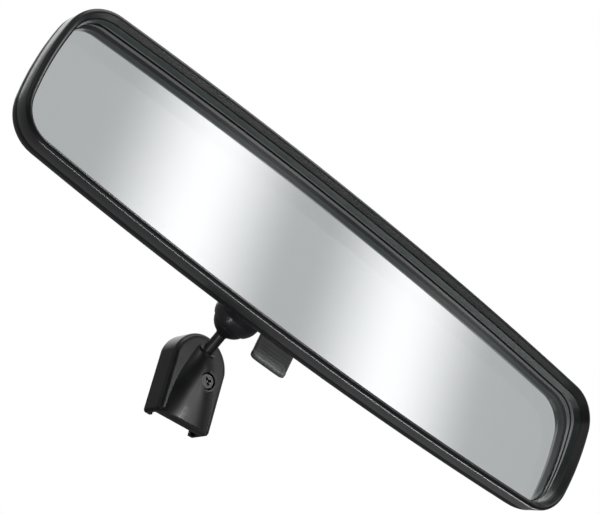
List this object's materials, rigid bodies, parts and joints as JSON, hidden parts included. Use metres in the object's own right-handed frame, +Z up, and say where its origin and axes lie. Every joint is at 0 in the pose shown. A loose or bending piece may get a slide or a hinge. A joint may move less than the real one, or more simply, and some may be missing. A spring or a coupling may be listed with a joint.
{
  "type": "interior rearview mirror",
  "caption": "Prismatic interior rearview mirror: bowed black case with day and night lever, ball-jointed arm and a shoe that slides on a wedge button.",
  "frame": {"origin": "middle of the shoe seat face, where the shoe lies against the windscreen button", "axes": "+Y out of the seat face to the windscreen, +Z up the channel to its closed end, +X across, close to the length of the mirror"},
  "size_m": [0.2527, 0.0987, 0.0842],
  "materials": {
    "shoe_black": "black coating on die-cast zinc, satin",
    "arm_black": "gloss black enamel on steel",
    "acetal": "natural acetal",
    "pressed_steel": "zinc-plated pressed steel",
    "cap_black": "satin black nylon",
    "screw_steel": "blackened machine screw with a worn recess",
    "stop_rubber": "soft black rubber",
    "bezel_black": "smooth moulded black, satin to glossy",
    "shell_black": "fine-grained moulded black",
    "inner_plastic": "plain moulded dark grey nylon",
    "lever_grey": "soft-touch dark grey",
    "clear_glass": "polished clear glass",
    "silvering": "silvered back coat",
    "foam": "closed-cell foam"
  },
  "bodies": {
    "mount": {"mount_shoe": "shoe_black", "clamp_screw": "screw_steel", "clamp_nut": "pressed_steel", "button_spring": "pressed_steel", "ball_arm": "arm_black"},
    "seat": {"ball_seat": "acetal"},
    "cup": {"ball_cup": "pressed_steel"},
    "bracket": {"socket_bracket": "inner_plastic", "socket_cap": "cap_black", "socket_spring": "pressed_steel", "bump_stops": "stop_rubber"},
    "case": {"rear_housing": "shell_black", "front_bezel": "bezel_black", "mirror_glass": "clear_glass", "silver_coating": "silvering", "foam_pad": "foam", "backing_tray": "inner_plastic", "pivot_pin": "pressed_steel", "pin_saddles": "inner_plastic", "saddle_screws": "pressed_steel", "lever_axle": "pressed_steel"},
    "lever": {"flip_lever": "lever_grey", "crank_roller": "acetal"}
  },
  "joints": [
    {"name": "ball_roll", "type": "hinge", "parent": "mount", "child": "seat", "pos_m": [0, -0.02128, 0.02276], "axis": [0, -0.682, 0.7314], "range_deg": [-20, 20]},
    {"name": "ball_tilt", "type": "hinge", "parent": "seat", "child": "cup", "pos_m": [0, -0.02128, 0.02276], "axis": [0.9862, -0.1028, -0.13], "range_deg": [-14, 8]},
    {"name": "ball_pan", "type": "hinge", "parent": "cup", "child": "bracket", "pos_m": [0, -0.02128, 0.02276], "axis": [0.1132, -0.1554, 0.9813], "range_deg": [-15, 15]},
    {"name": "day_night_flip", "type": "hinge", "parent": "bracket", "child": "case", "pos_m": [-0.00176, -0.06022, 0.04024], "axis": [-0.9862, 0.1028, 0.13], "range_deg": [0, 4]},
    {"name": "lever_swing", "type": "hinge", "parent": "case", "child": "lever", "pos_m": [-0.00562, -0.05721, 0.00855], "axis": [-0.9862, 0.1028, 0.13], "range_deg": [0, 36]}
  ],
  "couplings": [
    {"joint": "lever_swing", "follows": "day_night_flip", "ratio": 9}
  ]
}
